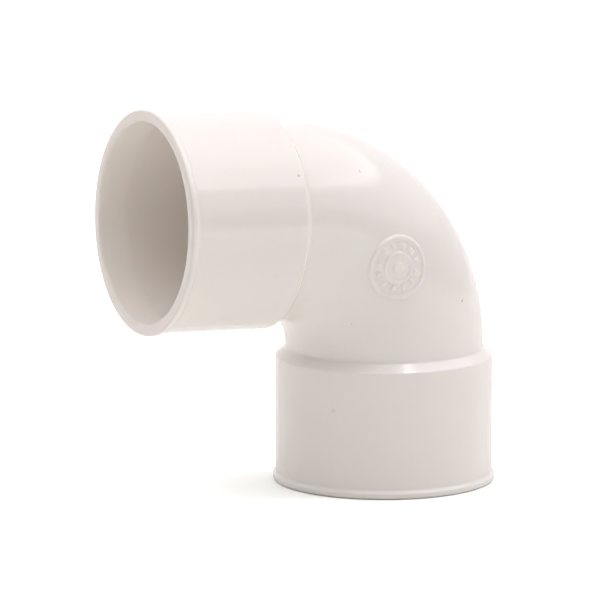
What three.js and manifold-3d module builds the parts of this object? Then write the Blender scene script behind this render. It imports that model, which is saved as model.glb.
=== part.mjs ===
// An 87.5 degree elbow with two plain sockets for solvent-welding 40 mm PVC pipe: one moulding, in millimetres.
// It stands on its lower mouth, with +Z up. The other socket, the arm, points along -X and rises by 2.5 degrees.
import * as THREE from 'three';
import { mergeVertices } from 'three/addons/utils/BufferGeometryUtils.js';
import Module from 'manifold-3d';

// Driving dimensions
const pipeDiameter = 40;
const turnAngle = THREE.MathUtils.degToRad(87.5);
const mouthToCorner = 56.2; // from either mouth to the point where the two socket axes cross
const bendRadius = 28; // of the centre line
const wall = 2.6;

// Sockets
const socketClearance = 0.3; // on the diameter, at the mouth
const socketTaper = 0.3; // on the diameter, from the mouth to the pipe stop
const socketDepth = 26;
const entryWidth = 0.8; // the cone that leads the pipe in
const entryLength = 6;
const collarRadius = 22.8;
const collarLength = 26.6;
const shoulderLength = 1.7; // the cone that leads from the collar down to the bend
const lipHeight = 0.55;
const lipLength = 1.2;
const lipSlope = 0.7;
const rimEdge = 0.4;

// Bend
const bendOuterRadius = 20.8;
const bendBoreRadius = bendOuterRadius - wall;
const leadIn = 6; // straight run of the sweep into each socket

// Raised round pad on the side of the bend
const padRadius = 6.7;
const padHeight = 0.3;

// Facets
const facetsRound = 64;
const bendSteps = 22;
const padFacets = 32;
const weldDistance = 1e-4;

const socketMouthRadius = (pipeDiameter + socketClearance) / 2;
const socketEndRadius = socketMouthRadius - socketTaper / 2;
const lipRadius = collarRadius + lipHeight;
const rimEdgeMiddle = rimEdge * (1 - Math.SQRT1_2); // half way round an edge of that radius
const armRise = Math.PI / 2 - turnAngle;

// The lower mouth is centred so that the whole fitting's box has its middle over the origin.
const armReach = mouthToCorner * Math.cos(armRise) + (lipRadius - rimEdge) * Math.sin(armRise);
const lowerAxisX = (armReach - lipRadius) / 2;

const wasm = await Module();
wasm.setup();

// A closed three.js geometry as a solid, with its shared vertices merged and its pole triangles dropped
function solid(geometry) {
  const bare = geometry.index ? geometry.toNonIndexed() : geometry.clone();
  bare.deleteAttribute('normal');
  bare.deleteAttribute('uv');
  const merged = mergeVertices(bare, weldDistance);
  const index = merged.index.array;
  const triangles = [];
  for (let i = 0; i < index.length; i += 3) {
    const [a, b, c] = [index[i], index[i + 1], index[i + 2]];
    if (a !== b && b !== c && c !== a) triangles.push(a, b, c);
  }
  return new wasm.Manifold(new wasm.Mesh({
    numProp: 3,
    vertProperties: new Float32Array(merged.attributes.position.array),
    triVerts: new Uint32Array(triangles),
  }));
}

// A solid of revolution about +Z from [radius, height] pairs that start and end on the axis, lowest first
function revolved(profile) {
  const points = profile.map(([radius, height]) => new THREE.Vector2(radius, height));
  return new THREE.LatheGeometry(points, facetsRound).rotateX(Math.PI / 2);
}

// The centre line: a straight lead-in up +Z, the bend towards -X, and a straight lead-out
class ElbowCentreLine extends THREE.Curve {
  constructor(lead) {
    super();
    this.lead = lead;
    this.arcLength = bendRadius * turnAngle;
    this.start = mouthToCorner - bendRadius * Math.tan(turnAngle / 2);
  }

  getPoint(t, target = new THREE.Vector3()) {
    const along = t * (2 * this.lead + this.arcLength) - this.lead;
    const arc = THREE.MathUtils.clamp(along, 0, this.arcLength);
    const angle = arc / bendRadius;
    target.set(bendRadius * (Math.cos(angle) - 1), 0, this.start + bendRadius * Math.sin(angle));
    const straight = along - arc;
    target.x -= straight * Math.sin(angle);
    target.z += straight * Math.cos(angle);
    return target;
  }
}

function sweptTube(radius, lead) {
  const section = new THREE.Shape().absarc(0, 0, radius, 0, 2 * Math.PI, false);
  return new THREE.ExtrudeGeometry(section, {
    steps: bendSteps,
    curveSegments: facetsRound / 2,
    extrudePath: new ElbowCentreLine(lead),
  });
}

// Socket shapes have their mouth at the origin and run inwards along +Z.
function socketOutside() {
  const shoulderDrop = collarRadius - bendOuterRadius;
  const buried = 0.3; // the cone goes on under the skin of the bend
  const coneRun = shoulderLength / shoulderDrop;
  return revolved([
    [0, 0],
    [lipRadius - rimEdge, 0],
    [lipRadius - rimEdgeMiddle, rimEdgeMiddle],
    [lipRadius, rimEdge],
    [lipRadius, lipLength],
    [collarRadius, lipLength + lipSlope],
    [collarRadius, collarLength],
    [bendOuterRadius - buried, collarLength + (shoulderDrop + buried) * coneRun],
    [0, collarLength + (shoulderDrop + buried) * coneRun],
  ]);
}

function socketHollow() {
  const outside = 1; // the cutting shape starts this far in front of the mouth
  return revolved([
    [0, -outside],
    [socketMouthRadius + entryWidth * (1 + outside / entryLength), -outside],
    [socketMouthRadius, entryLength],
    [socketEndRadius, socketDepth],
    [0, socketDepth],
  ]);
}

// Moves a socket shape from the lower mouth to the arm's mouth.
function toArm(geometry) {
  const inwards = Math.PI / 2 + armRise;
  const x = -mouthToCorner * Math.cos(armRise);
  const z = mouthToCorner * (1 + Math.sin(armRise));
  return geometry.rotateY(inwards).translate(x, 0, z);
}

// The pad lies on the bend's -Y side, half way round, and follows the curve of the skin.
function raisedPad() {
  const plugLength = 8; // the plug reaches half of this outside and inside of the bend's skin
  const along = turnAngle / 2;
  const start = mouthToCorner - bendRadius * Math.tan(turnAngle / 2);
  const x = bendRadius * (Math.cos(along) - 1);
  const z = start + bendRadius * Math.sin(along);
  const plug = new THREE.CylinderGeometry(padRadius, padRadius, plugLength, padFacets)
    .translate(x, -bendOuterRadius, z);
  return solid(plug).intersect(solid(sweptTube(bendOuterRadius + padHeight, 0)));
}

function elbowSolid() {
  const skin = solid(sweptTube(bendOuterRadius, leadIn))
    .add(solid(socketOutside()))
    .add(solid(toArm(socketOutside())))
    .add(raisedPad());
  return skin
    .subtract(solid(sweptTube(bendBoreRadius, leadIn)))
    .subtract(solid(socketHollow()))
    .subtract(solid(toArm(socketHollow())));
}

function geometryOf(body) {
  const mesh = body.getMesh();
  const geometry = new THREE.BufferGeometry();
  geometry.setAttribute('position', new THREE.BufferAttribute(mesh.vertProperties, 3));
  geometry.setIndex(new THREE.BufferAttribute(mesh.triVerts, 1));
  geometry.computeVertexNormals();
  return geometry;
}

const whitePvc = new THREE.MeshStandardMaterial({ color: 0xefecea, roughness: 0.3, metalness: 0 });

const elbowBody = new THREE.Mesh(geometryOf(elbowSolid()), whitePvc);
elbowBody.name = 'elbow_body';
elbowBody.position.x = lowerAxisX;

const elbow = new THREE.Group();
elbow.add(elbowBody);

export default elbow;
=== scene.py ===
import math
from collections import namedtuple

import bpy
import numpy as np
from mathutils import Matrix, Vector


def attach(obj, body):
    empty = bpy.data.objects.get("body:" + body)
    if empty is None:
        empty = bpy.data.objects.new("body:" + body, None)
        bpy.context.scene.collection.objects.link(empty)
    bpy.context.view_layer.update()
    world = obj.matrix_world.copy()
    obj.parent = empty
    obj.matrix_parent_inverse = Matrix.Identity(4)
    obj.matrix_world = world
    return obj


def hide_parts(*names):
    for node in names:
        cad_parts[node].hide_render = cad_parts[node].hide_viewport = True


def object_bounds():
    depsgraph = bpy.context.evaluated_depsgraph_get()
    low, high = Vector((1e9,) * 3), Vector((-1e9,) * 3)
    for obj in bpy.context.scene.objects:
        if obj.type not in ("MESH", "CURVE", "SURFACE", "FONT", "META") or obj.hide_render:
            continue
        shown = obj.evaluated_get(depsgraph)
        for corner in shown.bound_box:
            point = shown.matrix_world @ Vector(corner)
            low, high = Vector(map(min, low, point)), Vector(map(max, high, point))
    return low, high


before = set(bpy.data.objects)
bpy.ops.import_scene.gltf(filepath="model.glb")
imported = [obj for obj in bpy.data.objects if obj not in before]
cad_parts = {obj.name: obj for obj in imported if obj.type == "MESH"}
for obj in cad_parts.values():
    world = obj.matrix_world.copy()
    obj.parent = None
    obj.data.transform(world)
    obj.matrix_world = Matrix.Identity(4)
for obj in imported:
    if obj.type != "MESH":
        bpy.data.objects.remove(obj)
cad_low, cad_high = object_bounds()

MM = 0.001

# -----------------------------------------------------------------------------
# Driving dimensions of the moulding, in millimetres, on the CAD part's own centre line

turn_angle = math.radians(87.5)
bend_radius = 28.0
mouth_to_corner = 56.2
bend_skin_radius = 20.8
bend_bore_radius = 18.2

collar_radius = 22.8
collar_length = 26.6
shoulder_length = 1.7
lip_length = 1.2
lip_slope = 0.7
socket_mouth_radius = 20.15
socket_end_radius = 20.0
socket_depth = 26.0
entry_width = 0.8  # the cone that leads the pipe into the socket
entry_length = 6.0

# Roundings
rim_round = 0.65
entry_edge_round = 0.5
entry_end_round = 8.0
lip_round = 0.45
collar_round = 0.5
shoulder_round = 0.8
stop_round = 0.35

# Mesh density
lines_round = 160
outer_step = 1.1
inner_step = 2.0
hold = 0.12  # the first line beside a rounding
arc_step = math.radians(15)

# Round fields on the two sides of the bend: a square of cells gives way to rings and spokes
field_cells = 24
field_half_length = 9.6
field_radius = 8.2
ring_step = 0.15
innermost_ring = 0.25

# The lower socket's lip is the CAD box's widest Y and its highest X, which gives the lower axis.
lip_radius = cad_high.y / MM
lower_axis_x = cad_high.x / MM - lip_radius

straight_length = mouth_to_corner - bend_radius * math.tan(turn_angle / 2)
whole_length = 2 * straight_length + bend_radius * turn_angle
middle = whole_length / 2


def smoothstep(low, high, x):
    t = np.clip((x - low) / (high - low), 0, 1)
    return t * t * (3 - 2 * t)


# -----------------------------------------------------------------------------
# The moulding


def outline(corners):
    """A closed outline in the (along, radius) plane.

    Each corner is (along, radius, rounding, cells). Cells is the number of steps to the next
    corner, or None for steps of about outer_step or inner_step. Returns the points, and the
    index of each corner that has no rounding.
    """
    points, sharp = [], []
    arcs = []
    for i, (along, radius, rounding, _) in enumerate(corners):
        corner = np.array((along, radius))
        back = np.array(corners[i - 1][:2]) - corner
        ahead = np.array(corners[(i + 1) % len(corners)][:2]) - corner
        back /= np.linalg.norm(back)
        ahead /= np.linalg.norm(ahead)
        if rounding == 0:
            arcs.append([corner])
            continue
        half = math.acos(np.clip(back @ ahead, -1, 1)) / 2
        centre = corner + (back + ahead) / np.linalg.norm(back + ahead) * rounding / math.sin(half)
        start = corner + back * rounding / math.tan(half)
        first = math.atan2(*(start - centre)[::-1])
        sweep = math.pi - 2 * half
        turning = back[1] * ahead[0] - back[0] * ahead[1]
        steps = max(2, math.ceil(sweep / arc_step))
        angles = first + math.copysign(1, turning) * np.linspace(0, sweep, steps + 1)
        arcs.append([centre + rounding * np.array((math.cos(a), math.sin(a))) for a in angles])
    for i, arc in enumerate(arcs):
        cells = corners[i][3]
        if len(arc) == 1:
            sharp.append(len(points))
        points.extend(arc)
        ahead = arcs[(i + 1) % len(arcs)][0]
        run = ahead - arc[-1]
        length = np.linalg.norm(run)
        if cells is None:
            outer = min(arc[-1][1], ahead[1]) > socket_mouth_radius
            cells = max(1, round((length - 2 * hold) / (outer_step if outer else inner_step)))
            shares = [0.5]
            if length > 4 * hold:
                shares = np.linspace(hold / length, 1 - hold / length, cells + 1)
        else:
            shares = np.linspace(0, 1, cells + 1)[1:-1]
        points.extend(arc[-1] + run * share for share in shares)
    return np.array(points), sharp


def moulding_outline():
    """The wall's outline: along the outside from the lower mouth to the arm's, and back inside."""
    outside = [
        (0, lip_radius, rim_round, None),
        (lip_length, lip_radius, lip_round, None),
        (lip_length + lip_slope, collar_radius, lip_round, None),
        (collar_length, collar_radius, collar_round, None),
        (collar_length + shoulder_length, bend_skin_radius, shoulder_round, None),
        (middle - field_half_length, bend_skin_radius, 0, field_cells),
    ]
    inside = [
        (middle, bend_bore_radius, 0, None),
        (socket_depth, bend_bore_radius, stop_round, None),
        (socket_depth, socket_end_radius, stop_round, None),
        (entry_length, socket_mouth_radius, entry_end_round, None),
        (0, socket_mouth_radius + entry_width, entry_edge_round, None),
    ]

    def other_end(corners):
        return [
            (whole_length - along, radius, rounding, None)
            for along, radius, rounding, _ in reversed(corners)
        ]

    return outline(outside + other_end(outside) + other_end(inside)[:-1] + inside)


def centre_line(along):
    """Points of the centre line, and its directions towards the heel.

    Along is the distance from the lower mouth.
    """
    along = np.asarray(along, float)
    arc = np.clip(along - straight_length, 0, bend_radius * turn_angle)
    angle = arc / bend_radius
    beyond = along - straight_length - arc
    x = bend_radius * (np.cos(angle) - 1) - beyond * np.sin(angle)
    z = straight_length + bend_radius * np.sin(angle) + beyond * np.cos(angle)
    zero = np.zeros_like(x)
    centre = np.stack((x + lower_axis_x, zero, z), -1)
    heel = np.stack((np.cos(angle), zero, np.sin(angle)), -1)
    return centre, heel


def waviness(along, angle):
    """The slight unevenness of a moulded wall, in millimetres of radius."""
    oval = 0.02 * np.sin(2 * angle + 0.6 + 0.05 * along)
    slow = 0.014 * np.sin(0.17 * along + 1.3) * np.cos(angle - 0.8)
    ripple = 0.006 * np.sin(0.43 * along + 3 * angle)
    return oval + slow + ripple


def on_wall(along, radius, angle):
    """Points of the wall. Angle 0 is the heel's side of the section, and 90 degrees is +Y."""
    centre, heel = centre_line(along)
    radius = radius + waviness(along, angle)
    across = np.array((0.0, 1.0, 0.0))
    to_heel = (radius * np.cos(angle))[..., None] * heel
    return centre + to_heel + (radius * np.sin(angle))[..., None] * across


def parting_line(along, angle):
    """Height of the fine ridge where the two halves of the mould met, in the plane of the bend."""
    ridge_height = 0.045
    ridge_half_width = math.radians(0.6)
    flush, full = 1.2, 3.2  # distances from a mouth, where it starts and where it has its height
    off = np.abs(np.angle(np.exp(2j * angle))) / 2
    ends = smoothstep(flush, full, along) * smoothstep(flush, full, whole_length - along)
    return ridge_height * ends * (1 - smoothstep(0, ridge_half_width, off))


def disc(height, top, foot, radius):
    """A raised disc: flat out to the radius top, and down on the skin from the radius foot."""
    return height * (1 - smoothstep(top, foot, radius))


def rib(height, inner_foot, inner_top, outer_top, outer_foot, radius):
    """A raised ring between two feet."""
    rising = height * smoothstep(inner_foot, inner_top, radius)
    return rising * (1 - smoothstep(outer_top, outer_foot, radius))


def dial_height(radius, angle):
    """A raised round field with a border, bars, an inner ring and a boss."""
    field = disc(0.12, 6.5, 6.9, radius)
    border = rib(0.24, 5.65, 6.0, 6.35, 6.75, radius)
    ring = rib(0.24, 2.6, 2.9, 3.1, 3.4, radius)
    boss = disc(0.26, 0.85, 1.3, radius)
    bar_count = 12
    bar_pitch = 2 * math.pi / bar_count
    from_bar = np.abs((angle / bar_pitch + 0.5) % 1 - 0.5) * bar_pitch * radius
    bars = rib(disc(0.28, 0.2, 0.5, from_bar), 3.75, 4.0, 4.9, 5.15, radius)
    return field + border + ring + boss + bars


def gate_height(radius, angle):
    """The shallow dimple with the stub of the moulding gate, whose cut leans a little."""
    dimple = disc(-0.16, 2.3, 3.0, radius)
    stub = disc(0.3, 0.95, 1.2, radius)
    lean_height, lean_radius = 0.05, 1.1
    lean = lean_height * np.clip(1 - radius / lean_radius, 0, 1) * np.cos(angle)
    return dimple + stub + lean


def angles_round():
    """The section's angles: even steps, and close lines beside the parting line."""
    step = 2 * math.pi / lines_round
    even = step * np.arange(lines_round)
    beside = np.radians([-1.0, -0.6, -0.3, 0.3, 0.6, 1.0])
    close = np.concatenate([beside, beside + math.pi]) % (2 * math.pi)
    return np.sort(np.concatenate([even, close]))


class WallMesh:
    """The moulding's vertices and faces: a grid of sections and lines, with round fields set in."""

    def __init__(self):
        profile, sharp = moulding_outline()
        self.angles = angles_round()
        self.first, self.last = sharp[0], sharp[1]
        along, angle = np.meshgrid(profile[:, 0], self.angles, indexing="ij")
        radius = np.repeat(profile[:, 1:], len(self.angles), 1)
        from_mouth = np.minimum(along, whole_length - along)
        entry = entry_width * np.clip(1 - from_mouth / entry_length, 0, 1)
        outer = radius > (socket_mouth_radius + bend_skin_radius) / 2 + entry
        radius = radius + outer * parting_line(along, angle)
        self.shape = along.shape
        self.vertices = [on_wall(along, radius, angle).reshape(-1, 3)]
        self.count = along.size
        self.skipped = np.zeros(self.shape, bool)
        self.faces = []

    def grid_id(self, i, j):
        return (i % self.shape[0]) * self.shape[1] + j % self.shape[1]

    def add(self, points):
        ids = np.arange(self.count, self.count + len(points))
        self.vertices.append(points)
        self.count += len(points)
        return ids

    def round_field(self, side, height):
        """Rings and spokes round the middle of the bend's side; side is -1 or +1 for -Y or +Y."""
        rounding_error = 1e-6
        side_angle = (side * math.pi / 2) % (2 * math.pi)
        at = np.searchsorted(self.angles, side_angle - rounding_error)
        low, high = at - field_cells // 2, at + field_cells // 2
        first, last = self.first, self.last
        self.skipped[first:last, low:high] = True
        border = [(i, low) for i in range(first, last)]
        border += [(last, j) for j in range(low, high)]
        border += [(i, high) for i in range(last, first, -1)]
        border += [(first, j) for j in range(high, low, -1)]
        ids = np.array([self.grid_id(i, j) for i, j in border])
        centre, heel = centre_line([middle])
        centre, heel = centre[0][[0, 2]], heel[0][[0, 2]]
        ahead = np.array((-heel[1], heel[0]))
        flat = self.vertices[0][ids][:, [0, 2]] - centre
        flat = np.stack((flat @ ahead, flat @ heel), -1)
        start = math.atan2(flat[0][1], flat[0][0])
        order = math.copysign(1, np.cross(flat[0], flat[1]))
        spokes = start + order * 2 * math.pi * np.arange(len(ids)) / len(ids)
        round_edge = field_radius * np.stack((np.cos(spokes), np.sin(spokes)), -1)
        rings = [flat + (round_edge - flat) * share for share in (1 / 3, 2 / 3)]
        radii = np.arange(field_radius, innermost_ring, -ring_step)
        rings += [round_edge * radius / field_radius for radius in radii]
        previous = ids
        for ring in rings:
            away = np.linalg.norm(ring, axis=1)
            place = centre + ring[:, :1] * ahead + ring[:, 1:] * heel
            along, angle = self.on_skin(place, side)
            points = on_wall(along, bend_skin_radius + height(away, spokes), angle)
            new = self.add(points)
            self.join(previous, new, side * order)
            previous = new
        self.faces.append(tuple(previous if side * order > 0 else previous[::-1]))

    def on_skin(self, place, side):
        """Distances along the centre line, and angles, of the skin's points over X, Z places."""
        pivot = np.array((lower_axis_x - bend_radius, straight_length))
        arm = place - pivot
        off = np.linalg.norm(arm, axis=1) - bend_radius
        along = straight_length + bend_radius * np.arctan2(arm[:, 1], arm[:, 0])
        return along, side * np.arccos(off / bend_skin_radius)

    def join(self, outer, inner, order):
        for k in range(len(outer)):
            after = (k + 1) % len(outer)
            quad = (outer[k], outer[after], inner[after], inner[k])
            self.faces.append(quad if order > 0 else quad[::-1])

    def grid_faces(self):
        sections, lines = self.shape
        for i in range(sections):
            for j in range(lines):
                if not self.skipped[i, j]:
                    corners = ((i, j), (i, j + 1), (i + 1, j + 1), (i + 1, j))
                    self.faces.append(tuple(self.grid_id(a, b) for a, b in corners))

    def object(self, name):
        self.grid_faces()
        points = np.concatenate(self.vertices) * MM
        used = sorted({v for face in self.faces for v in face})
        new_id = {v: k for k, v in enumerate(used)}
        faces = [tuple(new_id[v] for v in face) for face in self.faces]
        mesh = bpy.data.meshes.new(name)
        mesh.from_pydata(points[used].tolist(), [], faces)
        mesh.validate()
        mesh.polygons.foreach_set("use_smooth", [True] * len(mesh.polygons))
        piece = bpy.data.objects.new(name, mesh)
        bpy.context.scene.collection.objects.link(piece)
        return piece


def elbow_moulding():
    wall = WallMesh()
    wall.round_field(-1, dial_height)
    wall.round_field(1, gate_height)
    return wall.object("elbow_moulding")


# -----------------------------------------------------------------------------
# Material


def node(tree, kind, inputs=(), **settings):
    """A node with its settings. Each input is a value, or another node's output to link."""
    made = tree.nodes.new(kind)
    for name, value in settings.items():
        setattr(made, name, value)
    for name, value in dict(inputs).items():
        if isinstance(value, bpy.types.NodeSocket):
            tree.links.new(value, made.inputs[name])
        else:
            made.inputs[name].default_value = value
    return made


def maths(tree, operation, a, b=0.0):
    return node(tree, "ShaderNodeMath", {0: a, 1: b}, operation=operation).outputs[0]


def vector_maths(tree, operation, a, b):
    made = node(tree, "ShaderNodeVectorMath", {0: a, 1: b}, operation=operation)
    return made.outputs["Value"]


def noise(tree, place, per_metre, detail=2.0, roughness=0.5):
    inputs = {"Vector": place, "Scale": per_metre, "Detail": detail, "Roughness": roughness}
    return node(tree, "ShaderNodeTexNoise", inputs).outputs["Fac"]


def ramp(tree, value, low, high, to_low=0.0, to_high=1.0):
    spans = {"From Min": low, "From Max": high, "To Min": to_low, "To Max": to_high}
    inputs = {"Value": value, **spans}
    made = node(tree, "ShaderNodeMapRange", inputs, interpolation_type="SMOOTHSTEP")
    return made.outputs["Result"]


def blend_colour(tree, share, a, b):
    made = node(tree, "ShaderNodeMix", {"Factor": share}, data_type="RGBA")
    for name, value in (("A", a), ("B", b)):
        socket = next(s for s in made.inputs if s.name == name and s.type == "RGBA")
        if isinstance(value, bpy.types.NodeSocket):
            tree.links.new(value, socket)
        else:
            socket.default_value = (*value, 1)
    return next(s for s in made.outputs if s.type == "RGBA")


# Dark specks in the plastic: their places and radii in millimetres, with X from the lower axis,
# and how far each goes towards grey
Speck = namedtuple("Speck", "place radius share")
specks = [
    Speck(place=(-30.1, -19.5, 69.4), radius=0.34, share=0.45),
    Speck(place=(-14.1, -15.8, 68.6), radius=0.34, share=0.35),
    Speck(place=(8.9, -18.2, 40.0), radius=0.34, share=0.6),
    Speck(place=(-18.7, -13.0, 18.3), radius=0.6, share=0.12),
]


def painted_end_shade(tree, place):
    """1 on the two end faces and their roundings, which are painted darker as painted shade: at the
    floor contact under the lower mouth and on the arm's mouth face. 0 off them.
    """
    from_lower = node(tree, "ShaderNodeSeparateXYZ", {"Vector": place}).outputs["Z"]
    mouth, heel = centre_line([whole_length])
    outwards = (-heel[0][2], 0.0, heel[0][0])
    reach = vector_maths(tree, "DOT_PRODUCT", place, outwards)
    from_arm = maths(tree, "SUBTRACT", MM * float(mouth[0] @ outwards), reach)
    full, none = 0.1 * MM, 0.45 * MM
    return ramp(tree, maths(tree, "MINIMUM", from_lower, from_arm), full, none, 1.0, 0.0)


def white_pvc():
    material = bpy.data.materials.new("moulded_pvc")
    material.use_nodes = True
    tree = material.node_tree
    tree.nodes.clear()
    place = node(tree, "ShaderNodeTexCoord").outputs["Object"]

    pale = (0.930, 0.892, 0.838)
    warm = (0.922, 0.880, 0.823)
    grey = (0.16, 0.14, 0.125)
    # Painted shade: the colour the two end faces are tinted towards, darker where the lower mouth
    # meets the floor and on the arm's mouth face.
    end_shade_colour = (0.80, 0.755, 0.70)
    cloud = ramp(tree, noise(tree, place, 30), 0.25, 0.75)
    colour = blend_colour(tree, cloud, pale, warm)
    for speck in specks:
        x, y, z = speck.place
        spot = (MM * (x + lower_axis_x), MM * y, MM * z)
        distance = vector_maths(tree, "DISTANCE", place, spot)
        full, none = 0.2 * speck.radius * MM, 1.3 * speck.radius * MM
        inside = ramp(tree, distance, full, none, speck.share, 0.0)
        colour = blend_colour(tree, inside, colour, grey)
    # Painted shade: the end faces are tinted darker, which darkens the contact line at the floor
    # and the arm's mouth face.
    colour = blend_colour(tree, painted_end_shade(tree, place), colour, end_shade_colour)
    grains = node(tree, "ShaderNodeTexVoronoi", {"Vector": place, "Scale": 125})
    grain = ramp(tree, grains.outputs["Distance"], 0.008, 0.018, 0.6, 0.0)
    colour = blend_colour(tree, grain, colour, grey)

    base_roughness = 0.15
    sheen_cloud = ramp(tree, noise(tree, place, 60, 3), 0.3, 0.7, -0.015, 0.015)
    rubbed = ramp(tree, noise(tree, place, 420, 5, 0.65), 0.55, 0.8, 0.0, 0.03)
    roughness = maths(tree, "ADD", maths(tree, "ADD", sheen_cloud, rubbed), base_roughness)

    peel_height = 0.006 * MM
    skin_share = 0.05
    peel = noise(tree, place, 220)
    skin = noise(tree, place, 1800)
    height = maths(tree, "ADD", peel, maths(tree, "MULTIPLY", skin, skin_share))
    relief = {"Height": height, "Strength": 1.0, "Distance": peel_height}
    bump = node(tree, "ShaderNodeBump", relief)

    surface = node(
        tree,
        "ShaderNodeBsdfPrincipled",
        {
            "Base Color": colour,
            "Roughness": roughness,
            "IOR": 1.53,
            "Specular IOR Level": 0.7,
            "Normal": bump.outputs["Normal"],
            "Subsurface Weight": 0.35,
            "Subsurface Radius": (1.0, 0.75, 0.55),
            "Subsurface Scale": 0.002,
        },
    )
    output = node(tree, "ShaderNodeOutputMaterial")
    tree.links.new(surface.outputs["BSDF"], output.inputs["Surface"])
    return material


# -----------------------------------------------------------------------------
# Camera, light and floor

camera_azimuth = math.radians(-27.15)
camera_elevation = math.radians(10.2)
camera_distance = 1.32
camera_aim = Vector((0.0002, 0.0061, 0.0384))
lens = 378


def add_camera():
    data = bpy.data.cameras.new("camera")
    data.lens = lens
    data.sensor_width = 36
    camera = bpy.data.objects.new("camera", data)
    level = math.cos(camera_elevation)
    back = Vector((
        math.sin(camera_azimuth) * level,
        -math.cos(camera_azimuth) * level,
        math.sin(camera_elevation),
    ))
    camera.location = camera_aim + camera_distance * back
    camera.rotation_euler = (-back).to_track_quat("-Z", "Y").to_euler()
    bpy.context.scene.collection.objects.link(camera)
    bpy.context.scene.camera = camera


# The white light tent, in bands from its walls to its ceiling. Each band starts at an elevation,
# in degrees, with a soft edge of so many degrees either side. It has a brightness on the side
# towards the camera, on the camera's right, behind the fitting and on the camera's left.
# Above the last band is the ceiling's middle.
TentBand = namedtuple("TentBand", "starts edge front right back left")
tent_bands = [
    TentBand(starts=-90, edge=1, front=0.0, right=0.1, back=1.05, left=0.2),
    TentBand(starts=15, edge=4, front=0.0, right=0.75, back=0.93, left=0.8),
    TentBand(starts=35, edge=0.5, front=0.25, right=2.8, back=0.9, left=1.65),
    TentBand(starts=41, edge=3, front=0.25, right=1.9, back=0.9, left=1.65),
    TentBand(starts=50, edge=4, front=1.4, right=1.9, back=0.8, left=1.9),
]
tent_colour = (1.0, 0.966, 1.0)
ceiling_starts, ceiling_edge, ceiling_brightness = 68, 4, 1.45
# A small lamp that shines through the ceiling. Its elevation, its turn from the camera's side to
# the right and its half-width are in degrees, and its brightness adds to the ceiling's.
lamp_elevation, lamp_turn, lamp_half_width, lamp_brightness = 74.5, 77, 3.0, 30.0


def light_tent():
    """A world of plain white panels. The camera sees plain white behind the floor."""
    world = bpy.data.worlds.new("light_tent")
    world.use_nodes = True
    bpy.context.scene.world = world
    tree = world.node_tree
    tree.nodes.clear()
    direction = node(tree, "ShaderNodeTexCoord").outputs["Generated"]

    def towards(azimuth, elevation=0.0):
        level = math.cos(elevation)
        aim = (level * math.sin(azimuth), -level * math.cos(azimuth), math.sin(elevation))
        return vector_maths(tree, "DOT_PRODUCT", direction, aim)

    def above(starts, edge):
        low, high = (math.sin(math.radians(starts + off)) for off in (-edge, edge))
        return ramp(tree, upwards, low, high)

    upwards = node(tree, "ShaderNodeSeparateXYZ", {"Vector": direction}).outputs["Z"]
    level = maths(tree, "SQRT", maths(tree, "SUBTRACT", 1.0, maths(tree, "POWER", upwards, 2.0)))
    level = maths(tree, "MAXIMUM", level, 0.001)  # straight up has no azimuth to divide by
    shares = []
    for quarter in range(4):
        facing = maths(tree, "DIVIDE", towards(camera_azimuth + quarter * math.pi / 2), level)
        shares.append(maths(tree, "POWER", maths(tree, "MAXIMUM", facing, 0.0), 2.0))
    starts = [above(band.starts, band.edge) for band in tent_bands[1:]]
    starts.append(above(ceiling_starts, ceiling_edge))
    total = maths(tree, "MULTIPLY", starts[-1], ceiling_brightness)
    covered = 1.0
    for band, next_start in zip(tent_bands, starts):
        inside = maths(tree, "SUBTRACT", covered, next_start)
        covered = next_start
        for share, brightness in zip(shares, (band.front, band.right, band.back, band.left)):
            patch = maths(tree, "MULTIPLY", share, inside)
            total = maths(tree, "ADD", total, maths(tree, "MULTIPLY", patch, brightness))
    lamp = towards(camera_azimuth + math.radians(lamp_turn), math.radians(lamp_elevation))
    wide, narrow = (math.cos(math.radians(lamp_half_width * share)) for share in (1.2, 0.8))
    total = maths(tree, "ADD", total, ramp(tree, lamp, wide, narrow, 0.0, lamp_brightness))

    seen = node(tree, "ShaderNodeLightPath").outputs["Is Camera Ray"]
    lit = node(tree, "ShaderNodeBackground", {"Color": (*tent_colour, 1), "Strength": total})
    plain = node(tree, "ShaderNodeBackground", {"Color": (1, 1, 1, 1), "Strength": 1.0})
    mixed = node(tree, "ShaderNodeMixShader", {0: seen, 1: lit.outputs[0], 2: plain.outputs[0]})
    output = node(tree, "ShaderNodeOutputWorld")
    tree.links.new(mixed.outputs[0], output.inputs["Surface"])


def add_floor():
    half = 3.0  # of its width, in metres
    mesh = bpy.data.meshes.new("floor")
    corners = [(-half, -half), (half, -half), (half, half), (-half, half)]
    mesh.from_pydata([(x, y, cad_low.z) for x, y in corners], [], [(0, 1, 2, 3)])
    floor = bpy.data.objects.new("floor", mesh)
    bpy.context.scene.collection.objects.link(floor)
    material = bpy.data.materials.new("white_board")
    material.use_nodes = True
    tree = material.node_tree
    tree.nodes.clear()
    # The board is lit through from below, so it looks whiter than what it throws on the moulding.
    thrown, looked_at = (0.84, 0.84, 0.81), (1.2, 1.24, 1.2)
    seen = node(tree, "ShaderNodeLightPath").outputs["Is Camera Ray"]
    colour = blend_colour(tree, seen, thrown, looked_at)
    surface = node(tree, "ShaderNodeBsdfDiffuse", {"Color": colour})
    output = node(tree, "ShaderNodeOutputMaterial")
    tree.links.new(surface.outputs["BSDF"], output.inputs["Surface"])
    mesh.materials.append(material)


bpy.context.scene.view_settings.view_transform = "Standard"

add_camera()
light_tent()
add_floor()

elbow = elbow_moulding()
elbow.data.materials.append(white_pvc())
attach(elbow, "root")
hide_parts("elbow_body")
